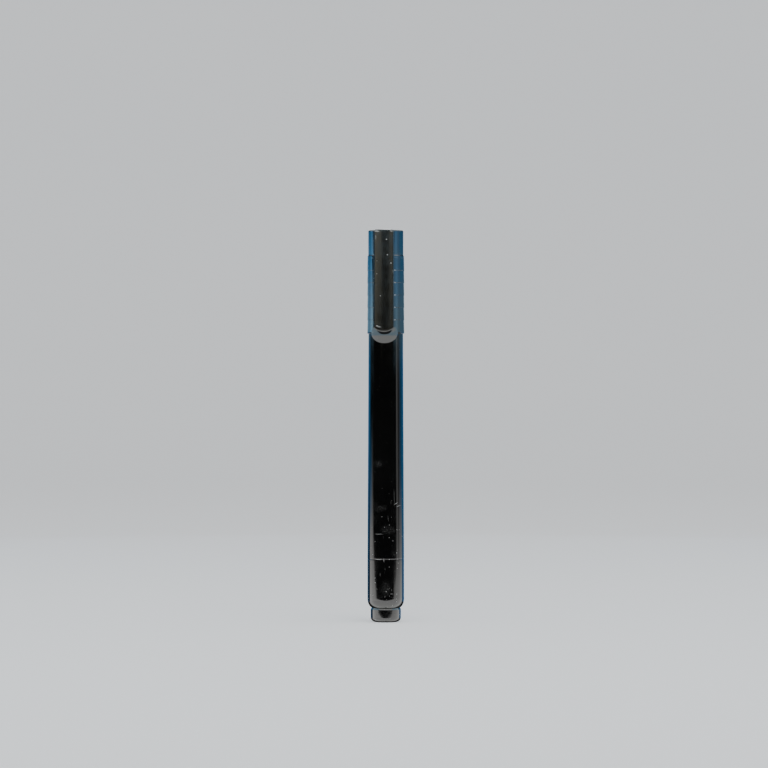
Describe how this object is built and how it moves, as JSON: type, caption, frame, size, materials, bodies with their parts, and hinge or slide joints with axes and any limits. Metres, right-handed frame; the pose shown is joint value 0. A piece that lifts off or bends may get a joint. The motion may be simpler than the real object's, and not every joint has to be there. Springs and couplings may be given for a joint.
{
  "type": "counterfeit detector pen",
  "caption": "Capped felt-tip pen for testing banknotes, with a push-on ringed cap, a springy pocket clip and a plugged ink barrel.",
  "frame": {"origin": "centre of the end plug's flat face, on the pen's axis", "axes": "+Z along the pen from the end plug to the cap's flat top, -Y towards the clip"},
  "size_m": [0.0134, 0.0158, 0.142],
  "materials": {
    "barrel_plastic": "glossy black moulded polypropylene with light scuffs",
    "cap_plastic": "glossy black moulded polypropylene",
    "clip_plastic": "satin warm black moulded plastic",
    "nose_plastic": "satin black moulded plastic",
    "liner_plastic": "natural white polyethylene",
    "nib_felt": "porous polyester felt stained amber by the ink",
    "reservoir_fibre": "bonded polyester fibre soaked with amber ink",
    "film_plastic": "thin clear wrap film"
  },
  "bodies": {
    "pen": {"barrel": "barrel_plastic", "end_plug": "barrel_plastic", "nib_section": "nose_plastic", "nib": "nib_felt", "ink_reservoir": "reservoir_fibre", "reservoir_film": "film_plastic"},
    "liner": {"inner_cap": "liner_plastic"},
    "cap": {"cap_shell": "cap_plastic", "clip_root": "clip_plastic"},
    "clip": {"clip_arm": "clip_plastic"}
  },
  "joints": [
    {"name": "cap_pull", "type": "slide", "parent": "pen", "child": "liner", "axis": [0, 0, 1], "range_m": [0, 0.045]},
    {"name": "cap_turn", "type": "hinge", "parent": "liner", "child": "cap", "pos_m": [0, 0, 0.12], "axis": [0, 0, 1], "continuous": true},
    {"name": "clip_flex", "type": "hinge", "parent": "cap", "child": "clip", "pos_m": [0, -0.0082, 0.1375], "axis": [-1, 0, 0], "range_deg": [0, 6], "stiffness_Nm_per_rad": 0.8}
  ]
}
